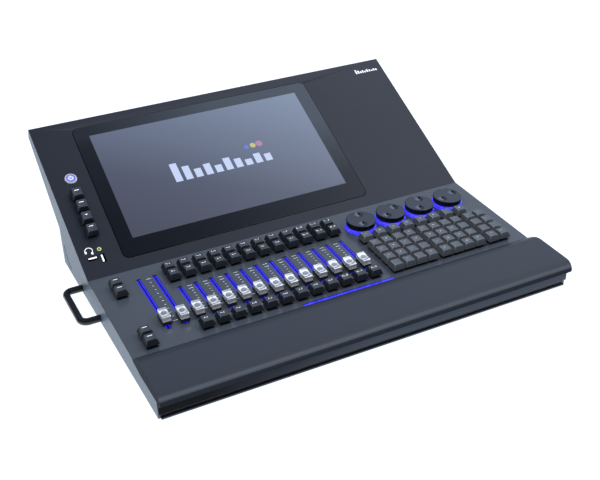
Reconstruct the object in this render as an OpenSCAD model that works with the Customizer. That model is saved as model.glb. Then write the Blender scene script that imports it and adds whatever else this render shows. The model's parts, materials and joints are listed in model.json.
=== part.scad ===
// Lighting control desk: a folded sheet-metal console with a raked screen, fourteen faders,
// four encoder wheels and banks of square keys. Millimetres, +X right, +Y to the rear, +Z up.
// The origin is at the bottom centre of the whole object, on the surface that it stands on.

/* [Case] */
// Width over the side panels
case_w = 600; // [596:1:680]
// Thickness of the side panels
side_t = 3; // [2:0.5:3]
// Thickness of the deck and screen sheets
plate_t = 2; // [1.5:0.1:2.2]
// Thickness of the base and rear sheets
floor_t = 1.5; // [1:0.1:1.5]
// Front fold of the deck, behind the front face
fold_y = 84.7; // [84:0.1:86]
// Front fold of the deck, above the case bottom
fold_z = 31.1; // [31:0.1:33]
// Length of the deck, fold to fold
deck_len = 183; // [183:0.5:186]
// Slope of the deck
deck_tilt = 3; // [2:0.5:4]
// Length of the screen panel up its slope
screen_len = 278.6; // [276:0.2:284]
// Slope of the screen panel
screen_tilt = 27.35; // [26:0.05:29]
// Thickness of the screen panel's rear edge
slab_t = 18; // [16:0.5:20]
// Rear wall, behind the front face
rear_y = 401; // [400:0.5:404]
// Height of the rear wall's upright part
rear_kink_z = 58; // [57:0.5:62]
// Height of the rubber feet
foot_h = 7; // [6:0.5:9]

/* [Palm rest] */
// How far the nose stands in front of the front face
nose_out = 10.5; // [9:0.5:11]
// Wall of the palm rest moulding
palm_wall = 2.5; // [2:0.25:3]
// Height of its seam on the side panels
seam_z = 25.2; // [25:0.1:25.5]

/* [Keys] */
// Key pitch in the pad blocks
key_pitch = 19; // [18.6:0.1:19]
// Width of a key cap at its skirt
cap_w = 18; // [17.5:0.1:18.2]
// Height of a key cap's top above the sheet
cap_top = 13; // [12.6:0.1:13.4]
// Height of a key cap from skirt to top
cap_h = 8.4; // [8:0.1:8.6]

/* [Faders] */
// Pitch of the playback columns
column_pitch = 22.4; // [22:0.1:22.5]
// Travel of the short faders
short_travel = 60; // [50:5:60]
// Travel of the long faders
long_travel = 100; // [90:5:100]
// Width of a fader slot
slot_w = 6.4; // [4.6:0.1:6.6]

/* [Encoders] */
// Radius of an encoder wheel
wheel_r = 21.8; // [19:0.1:22]
// Pitch of the encoder wheels
wheel_pitch = 50.7; // [50:0.1:52]

/* [Screen] */
// Width of the touch glass
glass_w = 389.5; // [380:0.5:392]
// Height of the touch glass
glass_h = 241.4; // [236:0.2:243]
// Width of the picture
picture_w = 344.2;
// Height of the picture
picture_h = 193.6;

/* [Handles] */
// Distance between a handle's two arms
handle_span = 84; // [80:1:90]
// Distance of the handle bar's centre from the side panel
handle_reach = 25.3; // [25:0.1:30]
// Diameter of the handle bar
handle_d = 10; // [8:0.5:10]

/* [Hidden] */

$fn = 48;
gap = 0.3;          // working gap between pieces that move past each other
through = 1;        // how far a cut runs past the sheet that it cuts
half_w = case_w / 2;
inner_x = half_w - side_t;

function along(a) = [cos(a), sin(a)];
function up(a) = [-sin(a), cos(a)];
function cross2(p, q) = p.x * q.y - p.y * q.x;
function bearing(p, q) = atan2(q.y - p.y, q.x - p.x);
// The point where the line through p at angle a meets the line through q at angle b
function meet(p, a, q, b) = p + along(a) * cross2(q - p, along(b)) / sin(b - a);
// A corner of an outline that turns from angle a to angle b, moved in by t
function corner_in(p, a, b, t) = p - t * up((a + b) / 2) / cos((b - a) / 2);
// The points of an arc of radius r that rounds the corner p1 between p0 and p2
function round_corner(p0, p1, p2, r, steps) =
    let (u = (p0 - p1) / norm(p0 - p1), w = (p2 - p1) / norm(p2 - p1),
         half = acos(u * w) / 2, centre = p1 + (u + w) / norm(u + w) * r / sin(half),
         from = p1 + u * r / tan(half) - centre, to = p1 + w * r / tan(half) - centre,
         a0 = atan2(from.y, from.x), turn = (atan2(to.y, to.x) - a0 + 540) % 360 - 180)
    [for (i = [0:steps]) centre + r * along(a0 + turn * i / steps)];

// The case's side outline, as (y, z) points from the front fold to the rear
fold = [fold_y, fold_z];
screen_fold = fold + deck_len * along(deck_tilt);
top_edge = screen_fold + screen_len * along(screen_tilt);
top_rear = top_edge + slab_t * along(screen_tilt - 90);
kink = [rear_y, rear_kink_z];
fold_in = fold - plate_t * up(deck_tilt);
screen_fold_in = corner_in(screen_fold, deck_tilt, screen_tilt, plate_t);
top_edge_in = corner_in(top_edge, screen_tilt, screen_tilt - 90, plate_t);
flange_end = top_rear - plate_t * along(screen_tilt);
back_angle = bearing(flange_end, kink);

// The case stands on its feet, centred from the nose to the screen's rear edge
case_shift = (nose_out - top_rear.x) / 2;

// Key columns and rows, as x from the centre and v from the deck's front fold
first_column = -193.4;
column_x = [for (i = [0:11]) first_column + column_pitch * i];
left_key_x = -270;
left_keys_v = [150.5, 131.5, 35.5, 16.5];
playback_v = [155.3, 136, 20.3];
function_x = [for (i = [0:7]) 86.1 + 23.1 * i];
function_v = 98.8;
pad_v = [for (i = [0:3]) 75.5 - key_pitch * i];
pad_first_x = 87.2;
block_gap = 4;
block_step = 4 * key_pitch + block_gap;
function pad_x(first, count) = [for (i = [0:count - 1]) first + key_pitch * i];
screen_key_x = -269.8;
screen_key_s = [for (i = [0:3]) 140.6 - 21.7 * i];
cap_top_x = 14;   // flat of a cap's top
cap_top_y = 14.2;
cap_wall = 1.4;
switch_w = 14;
switch_hole = 14.2;
key_travel = 3.4;
stem_r = 2.6;

// Every key as [x, v], bank by bank
function bank(xs, vs) = [for (v = vs) for (x = xs) [x, v]];
keys_left = bank([left_key_x], left_keys_v);
keys_function = bank(function_x, [function_v]);
keys_pad_left = bank(pad_x(pad_first_x, 4), pad_v);
keys_pad_centre = bank(pad_x(pad_first_x + block_step, 4), pad_v);
keys_pad_right = bank(pad_x(pad_first_x + 2 * block_step, 2), pad_v);
deck_keys = concat(keys_left, bank(column_x, playback_v),
    keys_function, keys_pad_left, keys_pad_centre, keys_pad_right);
screen_keys_at = bank([screen_key_x], screen_key_s);

// Faders, as [x, travel, distance of the knob above its lower stop]
long_faders = [[-238, long_travel, 5], [-215, long_travel, 0.5]];
short_rest = [1.5, 2, 4, 5, 4, 1, 0.5, 2, 2.5, 2.5, 0.5, 1];
short_faders = [for (i = [0:11]) [column_x[i], short_travel, short_rest[i]]];
faders = concat(long_faders, short_faders);
knob_low_v = 48.6;  // knob centre at the lower stop
stem_ahead = 3.4;   // the stem stands this far behind the knob's centre
stem_len = 8;
stem_t = 1.1;
slot_front_v = 36.5;
slot_spare = 20.8;  // slot length beyond the travel
guide_gap = 1.7;    // slit of a light guide, for the stem
guide_t = 1.6;
fader_body_w = 11;
fader_body_h = 13;
fader_body_spare = 27;
function slot_len(travel) = travel + slot_spare;
function slot_mid(travel) = slot_front_v + slot_len(travel) / 2;

wheel_x = [for (i = [0:3]) 98.9 + wheel_pitch * i];
wheel_v = 136;
wheel_top = 13.6;
wheel_bottom = 5.2;
ring_r = 23.3;
ring_h = 4.5;
shaft_r = 3;
bushing_r = 4.5;
encoder_body_w = 14;

glass_x = -45.8;
glass_s = 140.7;
glass_t = 3;
glass_proud = 0.6;
glass_corner = 9;
picture_x = -46.5;
picture_s = 146.2;
module_w = 362;
module_h = 212;
module_t = 6.6;
pocket = glass_t - glass_proud;
button_x = -268.5;
button_s = 173.5;
jack_x = -268.8;
jack_s = 45.5;
jack_bore_r = 1.8;
jack_depth = 14;
usb_flat = [-281.7, 33.2];
usb_upright = [-267.9, 30.3];
usb_shell = [14.5, 7.1];
usb_mouth = [13.1, 5.1];
bar_x = 4.4;
bar_v = 2.1;
bar_len = 137;

front_top = 18.4;   // top of the front plate, under the palm rest's nose
front_low = 8;      // lower edge of the front plate
side_front = 1.8;   // front end of the side panels, behind the palm rest's ends
handle_y = 265;
handle_z = 8;
handle_bend = 10;   // centreline radius of the handle's corners
feet_at = [for (x = [-250, 250]) for (y = [34, 366]) [x, y]];
vent_centre = [356, 41];
vent_r = 31;
vent_half = 2.5;
fan_x = 60;
fan_z = 30;
fan_w = 50;
fan_t = 15;
fan_hole_r = 22.5;
dmx_x = [for (i = [0:3]) -250 + 36 * i];
socket_z = 30;
network_x = -85;
inlet_x = 230;
xlr_r = 12;
xlr_flange_t = 1.8;
xlr_floor = 13;     // depth of the bore round the insert
xlr_facets = 24;

// --- places ---

// The case frame: y from the front face, z from the case bottom
module in_case() { translate([0, case_shift, foot_h]) children(); }

// On a sloping sheet: x from the centre, d along the slope from its fold, h off its surface
module on_sheet(start, tilt, x, d, h) {
    p = start + d * along(tilt) + h * up(tilt);
    in_case() translate([x, p.x, p.y]) rotate([tilt, 0, 0]) children();
}
module on_deck(x, v, h = 0) { on_sheet(fold, deck_tilt, x, v, h) children(); }
module on_screen(x, s, h = 0) { on_sheet(screen_fold, screen_tilt, x, s, h) children(); }

// An outline of (y, z) points, carried across from x0 to x1
module across(x0, x1) {
    translate([x0, 0, 0]) rotate([90, 0, 90]) linear_extrude(x1 - x0) children();
}

// A box centred in x and y between two heights
module slab(w, d, z0, z1) { translate([-w / 2, -d / 2, z0]) cube([w, d, z1 - z0]); }
module post(r, z0, z1) { translate([0, 0, z0]) cylinder(r = r, h = z1 - z0); }

module mirrored() {
    children();
    mirror([1, 0, 0]) children();
}

module rounded(w, d, r, z0, z1) {
    translate([0, 0, z0]) linear_extrude(z1 - z0) union() {
        square([w - 2 * r, d], center = true);
        square([w, d - 2 * r], center = true);
        for (x = [-1, 1]) for (y = [-1, 1])
            translate([x * (w / 2 - r), y * (d / 2 - r)]) circle(r);
    }
}

// --- case ---

screw_r = 1.5;
screw_hole_r = 1.6;
screw_rows = [60, 160, 260, 340];
screw_x = inner_x - 6;
flange_w = 12;
flange_t = 2;
ledge_w = 7;
standoff_h = 6;
board_at = [[-52, 223], [132, 223], [-52, 367], [132, 367]];

module base_tray() {
    wall_y = 1.5;   // front face of the upturned wall, behind the front plate
    lip_z = 2.2;
    color("#30353d") in_case() difference() {
        union() {
            across(-inner_x, inner_x) polygon([[-1.5, 0], [rear_y, 0], [rear_y, floor_t],
                [wall_y + floor_t, floor_t], [wall_y + floor_t, front_top], [wall_y, front_top],
                [wall_y, lip_z], [-1.5, lip_z]]);
            for (p = board_at) translate([p.x, p.y, 0]) post(3.5, floor_t, floor_t + standoff_h);
        }
        for (x = [-screw_x, screw_x]) for (y = screw_rows)
            translate([x, y, 0]) post(screw_hole_r, -through, floor_t + through);
        for (x = [-120:20:-20]) translate([x, 300, 0]) rounded(6, 60, 2.9, -through, floor_t + through);
    }
}

module side_outline() {
    polygon([[side_front, 0], [side_front, seam_z], [58, seam_z], [fold_in.x, fold_in.y],
        screen_fold_in, top_edge_in, flange_end, kink, [rear_y, 0]]);
}

// A ledge under the deck and screen sheets, and a flange on the floor
module side_flanges() {
    deck_low = fold_in - flange_t * up(deck_tilt);
    bend_low = corner_in(screen_fold, deck_tilt, screen_tilt, plate_t + flange_t);
    top_low = top_edge_in - flange_t * up(screen_tilt) - 20 * along(screen_tilt);
    across(-inner_x, -inner_x + ledge_w) polygon([fold_in + 4 * along(deck_tilt), screen_fold_in,
        top_edge_in - 20 * along(screen_tilt), top_low, bend_low, deck_low + 4 * along(deck_tilt)]);
    translate([-inner_x, 24, floor_t]) cube([flange_w, 352, flange_t]);
}

module side_panel() {
    in_case() difference() {
        union() {
            across(-half_w, -inner_x) side_outline();
            side_flanges();
        }
        for (y = screw_rows)
            translate([-screw_x, y, 0]) post(screw_hole_r, 0, floor_t + flange_t + through);
        for (y = [-1, 1]) translate([-half_w - through, handle_y + y * handle_span / 2, handle_z])
            rotate([0, 90, 0]) cylinder(r = 2.6, h = side_t + 2 * through);
        // A curved cooling slot low at the rear
        translate([0, vent_centre.x, vent_centre.y]) across(-half_w - through, -inner_x + through)
            intersection() {
                difference() {
                    circle(vent_r + vent_half);
                    circle(vent_r - vent_half);
                }
                polygon([[0, 0], 60 * along(-8), 60 * along(-45), 60 * along(-84)]);
            }
    }
}

module side_panel_left() { color("#8b9bab") side_panel(); }
module side_panel_right() { color("#8b9bab") mirror([1, 0, 0]) side_panel(); }

module deck_plate() {
    color("#565d68") difference() {
        in_case() across(-half_w, half_w) polygon([fold, screen_fold, screen_fold_in, fold_in]);
        on_deck(0, 0) {
            for (k = deck_keys) translate([k.x, k.y, 0])
                slab(switch_hole, switch_hole, -plate_t - through, through);
            for (f = faders) translate([f[0], slot_mid(f[1]), 0])
                slab(slot_w, slot_len(f[1]), -plate_t - through, through);
            for (x = wheel_x) translate([x, wheel_v, 0]) post(bushing_r + 0.1, -plate_t - through, through);
            translate([bar_x, bar_v, 0]) slab(bar_len, 2.6, -plate_t - through, through);
        }
    }
}

module screen_panel() {
    color("#343a45") difference() {
        union() {
            in_case() across(-half_w, half_w) polygon([screen_fold, top_edge, top_rear,
                flange_end, top_edge_in, screen_fold_in]);
            // The welded frame that carries the glass
            on_screen(glass_x, glass_s) slab(glass_w + 24, glass_h + 24, -pocket - 2, -plate_t + 0.2);
        }
        on_screen(glass_x, glass_s) rounded(glass_w + 1.6, glass_h + 1.6, glass_corner + 0.8, -pocket, through);
        on_screen(picture_x, picture_s) slab(module_w + 1, module_h + 1, -12, through);
        on_screen(button_x, button_s) post(8.2, -plate_t - through, through);
        on_screen(0, 0) {
            for (k = screen_keys_at) translate([k.x, k.y, 0])
                slab(switch_hole, switch_hole, -plate_t - through, through);
            translate([jack_x, jack_s, 0]) post(3.1, -plate_t - through, through);
            translate([usb_flat.x, usb_flat.y, 0]) slab(14.7, 7.3, -plate_t - through, through);
            translate([usb_upright.x, usb_upright.y, 0]) slab(7.3, 14.7, -plate_t - through, through);
        }
    }
}

rear_screws = [for (x = [-285, -110, 20, 285]) [x, 50]];
rear_seam_z = rear_kink_z - 1.2;

// Holes through the rear, drilled forward from its outside face
module rear_holes() {
    translate([0, rear_y + through, 0]) rotate([90, 0, 0]) children();
}

// The sloping back, with a lip that the rear wall is screwed to
module rear_cover() {
    lip_z = 44;
    lip_out = rear_y - floor_t;
    start_in = flange_end + up(screen_tilt) * floor_t / cross2(along(back_angle), up(screen_tilt)) * -1;
    bend_in = meet(start_in, back_angle, [lip_out - floor_t, 0], 90);
    color("#30353d") in_case() difference() {
        across(-inner_x, inner_x) polygon([flange_end, kink, [rear_y, rear_seam_z], [lip_out, rear_seam_z],
            [lip_out, lip_z], [lip_out - floor_t, lip_z], bend_in, start_in]);
        rear_holes() {
            for (p = rear_screws) translate([p.x, p.y, 0]) post(screw_hole_r, 0, 6);
            translate([fan_x, lip_z, 0]) slab(fan_w + 2, 24, 0, 6);
        }
    }
}

// The upright sheet that carries the sockets and the fan
module rear_wall() {
    color("#30353d") in_case() difference() {
        across(-inner_x, inner_x) polygon([[rear_y, floor_t], [rear_y, rear_seam_z - 0.1],
            [rear_y - floor_t, rear_seam_z - 0.1], [rear_y - floor_t, floor_t]]);
        rear_holes() {
            for (x = dmx_x) translate([x, socket_z, 0]) post(xlr_r + 0.2, 0, 6);
            translate([network_x, socket_z, 0]) slab(16.4, 14.4, 0, 6);
            translate([inlet_x, socket_z, 0]) slab(27.4, 20.4, 0, 6);
            for (p = rear_screws) translate([p.x, p.y, 0]) post(screw_hole_r, 0, 6);
            translate([fan_x, fan_z, 0]) post(fan_hole_r, 0, 6);
        }
    }
}

// --- palm rest and front ---

palm_top = [0, 40.43];
palm_top_angle = 2.56;
palm_back = [85.4, 31.5];
palm_back_angle = -32.3;
palm_under = [-2, 18.6];
palm_nose_z = 26.2;
palm_end_y = fold_y - 0.2;
under_angle = bearing(palm_under, [-nose_out, palm_nose_z]);

// The palm rest's upper outline, from under the nose to the deck's fold, moved in by t
function palm_line(t) =
    let (back = palm_back - t * up(palm_back_angle), crown = palm_top - t * up(palm_top_angle),
         nose = [t - nose_out, 0], under = palm_under - t * up(under_angle),
         chin = meet(under, under_angle, nose, 90), brow = meet(nose, 90, crown, palm_top_angle),
         shoulder = meet(crown, palm_top_angle, back, palm_back_angle),
         heel = meet(back, palm_back_angle, [palm_end_y - t, 0], 90),
         lip = meet(under, under_angle, palm_under + [0, t], 0))
    concat([lip], round_corner(lip, chin, brow, 3.2 - t, 4),
        round_corner(chin, brow, shoulder, 12.5 - t, 14),
        round_corner(brow, shoulder, heel, 34 - t, 12), [heel]);

function reversed(list) = [for (i = [len(list) - 1:-1:0]) list[i]];

module palm_rest() {
    lip_end = 4;
    end_wall = 2.2;
    end_y = side_front - 0.4;
    outer = palm_line(0);
    color("#4a505b") in_case() union() {
        across(-inner_x + gap, inner_x - gap) polygon(concat(outer, [[palm_end_y, 26.5],
            [palm_end_y - palm_wall, 26.5]], reversed(palm_line(palm_wall)),
            [[lip_end, palm_under.y + palm_wall], [lip_end, palm_under.y]]));
        mirrored() {
            across(-inner_x + gap, -inner_x + gap + end_wall) polygon(concat(outer,
                [[palm_end_y, 26.5], [lip_end, 22], [lip_end, palm_under.y]]));
            // The ends lie over the side panels and in front of them
            intersection() {
                across(-half_w, -inner_x + gap)
                    polygon(concat(outer, [[palm_end_y, 20], [end_y, palm_under.y]]));
                across(-half_w - through, 0) polygon([[-20, 0], [end_y, 0], [end_y, seam_z + 0.4],
                    [58, seam_z + 0.4], [palm_end_y, fold_in.y + 0.4], [palm_end_y, 60], [-20, 60]]);
            }
        }
    }
}

module front_plate() {
    color("#15171b") in_case() across(-half_w, half_w)
        polygon([[-1.5, front_low], [1.5, front_low], [1.5, front_top], [-1.2, front_top],
            [-1.5, front_top - 0.3]]);
}

module light_bar() {
    color("#3a34ff") on_deck(bar_x, bar_v) slab(bar_len - 0.2, 2.4, -plate_t, 0.3);
}

// --- display ---

module touch_glass() {
    color("#3d4350") on_screen(glass_x, glass_s) rounded(glass_w, glass_h, glass_corner, -pocket, glass_proud);
}

module display_module() {
    color("#6d7789") on_screen(picture_x, picture_s) difference() {
        slab(module_w, module_h, -pocket - module_t, -pocket);
        slab(picture_w, picture_h, -pocket - 0.6, -pocket + through);
    }
}

// --- handles, feet and screws ---

module handle() {
    r = handle_d / 2;
    side = handle_span / 2;
    straight = handle_reach - handle_bend;
    in_case() translate([-half_w, handle_y, handle_z]) difference() {
        union() {
            for (s = [-1, 1]) translate([0, s * side, 0]) rotate([0, -90, 0]) cylinder(r = r, h = straight);
            translate([-handle_reach, handle_bend - side, 0]) rotate([-90, 0, 0])
                cylinder(r = r, h = handle_span - 2 * handle_bend);
            translate([-straight, side - handle_bend, 0]) rotate([0, 0, 90])
                rotate_extrude(angle = 90) translate([handle_bend, 0]) circle(r);
            translate([-straight, handle_bend - side, 0]) rotate([0, 0, 180])
                rotate_extrude(angle = 90) translate([handle_bend, 0]) circle(r);
        }
        for (s = [-1, 1]) translate([through, s * side, 0]) rotate([0, -90, 0])
            cylinder(r = 2.6, h = 13 + through);
    }
}

module handle_left() { color("#17191d") handle(); }
module handle_right() { color("#17191d") mirror([1, 0, 0]) handle(); }

module feet() {
    color("#1b1c1f") in_case() for (p = feet_at) translate([p.x, p.y, 0]) rotate_extrude()
        polygon([[3.5, 0], [9, 0], [9, 0.8 - foot_h], [8.2, -foot_h], [5, -foot_h], [5, -3], [3.5, -3]]);
}

module case_screws() {
    color("#26282c") in_case() {
        for (x = [-screw_x, screw_x]) for (y = screw_rows) translate([x, y, 0]) {
            post(3, -1.8, 0);
            post(screw_r, -0.5, 8);
        }
        mirrored() for (y = [-1, 1]) translate([-inner_x, handle_y + y * handle_span / 2, handle_z])
            rotate([0, 90, 0]) {
                post(4.4, 0, 3);
                post(2.5, -side_t - 12, 0.5);
            }
        for (p = feet_at) translate([p.x, p.y, 0]) post(3.4, -3, 0);
        for (p = rear_screws) translate([p.x, rear_y, p.y]) rotate([-90, 0, 0]) {
            post(3, 0, 1.8);
            post(screw_r, -8, 0.5);
        }
    }
}

// --- keys ---

// A tapered block: w by d at the bottom, tw by td at the top
module taper(w, d, tw, td, h) {
    intersection() {
        rotate([90, 0, 0]) linear_extrude(2 * d, center = true)
            polygon([[-w / 2, 0], [w / 2, 0], [tw / 2, h], [-tw / 2, h]]);
        rotate([90, 0, 90]) linear_extrude(2 * w, center = true)
            polygon([[-d / 2, 0], [d / 2, 0], [td / 2, h], [-td / 2, h]]);
    }
}

// A hollow cap with a shallow dish and the round stem that runs in its switch
module key_cap() {
    dish_r = 34;
    dish = 0.5;
    roof = 1.5;
    slope_x = (cap_w - cap_top_x) / cap_h;
    slope_y = (cap_w - cap_top_y) / cap_h;
    room = cap_h - roof;
    inner = cap_w - 2 * cap_wall;
    translate([0, 0, cap_top - cap_h]) {
        difference() {
            taper(cap_w, cap_w, cap_top_x, cap_top_y, cap_h);
            translate([0, 0, -0.001]) taper(inner, inner, inner - slope_x * room, inner - slope_y * room, room);
            translate([0, 0, cap_h + dish_r - dish]) rotate([90, 0, 0])
                cylinder(r = dish_r, h = 2 * cap_w, center = true, $fn = 96);
        }
        post(stem_r, -4, room + 0.4);
    }
}

module key_bank(keys) { for (k = keys) on_deck(k.x, k.y) key_cap(); }

module screen_keys() { color("#23262c") for (k = screen_keys_at) on_screen(k.x, k.y) key_cap(); }
module left_keys() { color("#23262c") key_bank(keys_left); }
module playback_keys_rear() { color("#23262c") key_bank(bank(column_x, [playback_v[0]])); }
module playback_keys_middle() { color("#23262c") key_bank(bank(column_x, [playback_v[1]])); }
module playback_keys_front() { color("#23262c") key_bank(bank(column_x, [playback_v[2]])); }
module function_keys() { color("#3a3f48") key_bank(keys_function); }
module pad_keys_left() { color("#3a3f48") key_bank(keys_pad_left); }
module pad_keys_centre() { color("#3a3f48") key_bank(keys_pad_centre); }
module pad_keys_right() { color("#3a3f48") key_bank(keys_pad_right); }

module key_switch() {
    difference() {
        union() {
            slab(switch_w, switch_w, -5, 0.1);
            slab(15.4, 15.4, 0, 0.9);
            slab(11.4, 11.4, 0.8, 4.4);
        }
        post(stem_r + 0.4, -3.6, 5);
    }
}

module key_switches() {
    color("#101114") {
        for (k = deck_keys) on_deck(k.x, k.y) key_switch();
        for (k = screen_keys_at) on_screen(k.x, k.y) key_switch();
    }
}

// --- faders ---

// A knob on its stem, with its middle on the slot at the origin
module fader_knob() {
    base_top = 7;
    cap_low = 6.2;
    dish_r = 21;
    profile = concat([[-11.6, 2.2], [-11.6, cap_low], [-9.9, 8.4], [-9.6, 12.6], [-8.7, 13]],
        [for (i = [0:8]) let (y = -7.6 + 15.4 * i / 8)
            [y, 33.4 - sqrt(dish_r * dish_r - (y - 1) * (y - 1))]],
        [[9.4, 14.6], [10.3, 14.2], [11, base_top], [11.4, 2.2]]);
    rotate([90, 0, 90]) linear_extrude(11.8, center = true) polygon(profile);
    slab(12.6, 22.6, 2, base_top);
    translate([0, stem_ahead, 0]) slab(stem_t, stem_len, -12, 2.5);
}

module fader_knob_at(f) { color("#c9ced6") on_deck(f[0], knob_low_v + f[2]) fader_knob(); }

module fader_bodies() {
    color("#2a2d33") for (f = faders) on_deck(f[0], slot_mid(f[1])) difference() {
        slab(fader_body_w, f[1] + fader_body_spare, -plate_t - fader_body_h, -plate_t);
        slab(1.7, slot_len(f[1]) - 1, -plate_t - fader_body_h + 2, -plate_t + through);
    }
}

module fader_light_guides() {
    color("#2c28e8") for (f = faders) on_deck(f[0], slot_mid(f[1])) difference() {
        slab(slot_w - 0.2, slot_len(f[1]) - 0.2, -plate_t, guide_t - plate_t);
        slab(guide_gap, slot_len(f[1]) - 1, -plate_t - through, through);
    }
}

// --- encoders ---

module encoder_wheel(turn) {
    dimple_r = 7;
    difference() {
        rotate_extrude($fn = 96) polygon([[0, wheel_bottom], [wheel_r - 0.6, wheel_bottom],
            [wheel_r, wheel_bottom + 0.6], [wheel_r, wheel_top - 1.4], [wheel_r - 0.4, wheel_top - 0.4],
            [wheel_r - 1.4, wheel_top], [0, wheel_top]]);
        for (s = [0, 180]) rotate(turn + s) translate([12.4, 0, wheel_top + 4.4]) sphere(r = dimple_r);
    }
    post(shaft_r, -7, wheel_bottom + 0.5);
}

wheel_turn = [75, 35, 60, 20];
module encoder_wheel_at(i) { color("#8d95a1") on_deck(wheel_x[i], wheel_v) encoder_wheel(wheel_turn[i]); }

module encoder_light_rings() {
    color("#2c28e8") for (x = wheel_x) on_deck(x, wheel_v) rotate_extrude($fn = 96)
        polygon([[16, 0], [ring_r, 0], [ring_r, ring_h - 1.2], [ring_r - 1.2, ring_h], [16, ring_h]]);
}

module encoder_bodies() {
    color("#83878d") for (x = wheel_x) on_deck(x, wheel_v) difference() {
        union() {
            slab(encoder_body_w, encoder_body_w, -9.5, -plate_t);
            post(bushing_r, -plate_t - 0.5, 4);
            translate([0, 0, 0.05]) cylinder(r = 7, h = 2.2, $fn = 6);
        }
        post(shaft_r + 0.06, -7.6, 5);
    }
}

// --- electronics ---

module control_board() {
    top = -5;
    color("#1d5a37") on_deck(0, 0) difference() {
        translate([-286, 6, top - 1.6]) cube([570, 162, 1.6]);
        for (f = faders) translate([f[0], slot_mid(f[1]), 0])
            slab(fader_body_w + 1, f[1] + fader_body_spare + 1, -8, -4);
        for (x = wheel_x) translate([x, wheel_v, 0]) slab(encoder_body_w + 1, encoder_body_w + 1, -8, -4);
    }
}

module main_board() {
    deck = floor_t + standoff_h;
    color("#20603c") in_case() {
        translate([-60, 215, deck]) cube([200, 160, 1.6]);
        // Heat sink, memory sockets and connector blocks
        translate([0, 300, deck + 1.5]) cube([50, 50, 4]);
        for (i = [0:7]) translate([i * 6.6, 300, deck + 5]) cube([2, 50, 12]);
        for (i = [0:1]) translate([72 + i * 12, 240, deck + 1.5]) cube([6, 120, 9]);
        translate([-50, 250, deck + 1.5]) cube([20, 90, 10]);
    }
}

module power_supply() {
    color("#9aa0a8") in_case() difference() {
        translate([150, 276, floor_t]) cube([112, 104, 34]);
        for (i = [0:9]) translate([160 + i * 9.6, 290, floor_t + 33]) cube([4, 76, 2]);
    }
}

module fan_frame() {
    mid_y = rear_y - floor_t - fan_t;
    guard_t = 1.1;
    color("#1c1d20") in_case() translate([fan_x, mid_y, fan_z]) rotate([-90, 0, 0]) {
        difference() {
            slab(fan_w, fan_w, 0, fan_t);
            post(23.6, -through, fan_t + through);
            for (x = [-20, 20]) for (y = [-20, 20]) translate([x, y, 0]) post(1.7, -through, fan_t + through);
        }
        difference() {
            union() {
                post(11, 0, 2);
                for (a = [0, 120, 240]) rotate(a) translate([0, -1.5, 0]) cube([24, 3, 2]);
            }
            post(1.55, -through, 3);
        }
        // The finger guard: three rings on three bars, just behind the wall
        translate([0, 0, fan_t - guard_t]) linear_extrude(guard_t) {
            for (r = [8, 14, 20]) difference() {
                circle(r + guard_t);
                circle(r);
            }
            for (a = [0:60:120]) rotate(a) square([2 * 24.5, 1.6], center = true);
        }
    }
}

module fan_rotor() {
    hub_r = 11;
    mid_y = rear_y - floor_t - fan_t;
    color("#101114") in_case() translate([fan_x, mid_y, fan_z]) rotate([-90, 0, 0]) {
        post(hub_r, 3, 13);
        post(1.5, 0, 4);
        intersection() {
            post(22.8, 3, 13.4);
            for (i = [0:6]) rotate(i * 360 / 7) translate([hub_r - 1, 0, 8]) rotate([38, 0, 0])
                translate([0, -7, -0.6]) cube([15, 14, 1.2]);
        }
    }
}

// --- sockets and power button ---

module headphone_jack() {
    color("#9fb58a") on_screen(jack_x, jack_s) difference() {
        union() {
            post(3, -plate_t - 0.5, 0.5);
            slab(8, 11.4, -jack_depth - 1.5, -plate_t);
        }
        post(jack_bore_r, 0.5 - jack_depth, 1);
    }
}

module usb_socket() {
    difference() {
        slab(usb_shell.x, usb_shell.y, -14, 0.3);
        slab(usb_mouth.x, usb_mouth.y, -12, 1);
    }
    translate([0, 0.9, 0]) slab(11.6, 1.9, -12.5, -0.4);
}

module usb_sockets() {
    color("#d8dbe0") {
        on_screen(usb_flat.x, usb_flat.y) usb_socket();
        on_screen(usb_upright.x, usb_upright.y) rotate(90) usb_socket();
    }
}

module power_button_ring() {
    color("#c8ccd2") on_screen(button_x, button_s) difference() {
        union() {
            rotate_extrude() polygon([[0, 0], [9, 0], [9, 1], [8.2, 1.9], [0, 1.9]]);
            post(8, -14, 0.5);
        }
        post(6.8, -9, 3);
    }
}

module power_button() {
    color("#8f96f0") on_screen(button_x, button_s)
        rotate_extrude() polygon([[0, -5.8], [6.5, -5.8], [6.5, 1.7], [6, 2.2], [0, 2.2]]);
}

module dmx_outputs() {
    color("#2b2d31") in_case() for (x = dmx_x) translate([x, rear_y, socket_z]) rotate([-90, 0, 0])
        difference() {
            union() {
                slab(26, 31, 0, xlr_flange_t);
                post(xlr_r, -20, 1, $fn = xlr_facets);
            }
            post(9.5, -xlr_floor, through + xlr_flange_t, $fn = xlr_facets);
        }
    // The round insert that holds the contacts stands in the bore
    color("#1c1e21") in_case() for (x = dmx_x) translate([x, rear_y, socket_z]) rotate([-90, 0, 0])
        post(7.8, gap - xlr_floor, 1, $fn = xlr_facets);
}

module network_socket() {
    color("#b4b8be") in_case() translate([network_x, rear_y, socket_z]) rotate([-90, 0, 0])
        difference() {
            slab(16, 14, -18, 0.6);
            slab(11.8, 8.6, -14, 2);
        }
}

module power_inlet() {
    color("#1a1b1e") in_case() translate([inlet_x, rear_y, socket_z]) rotate([-90, 0, 0]) {
        difference() {
            union() {
                slab(27, 20, -20, 0.5);
                slab(48, 22.4, 0, 2);
            }
            slab(24.4, 16.8, -16, 3);
        }
        for (x = [-7, 7]) translate([x, 1, 0]) slab(2, 4, -16.5, -2);
        translate([0, -2, 0]) slab(2, 4, -16.5, -1);
    }
}

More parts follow.
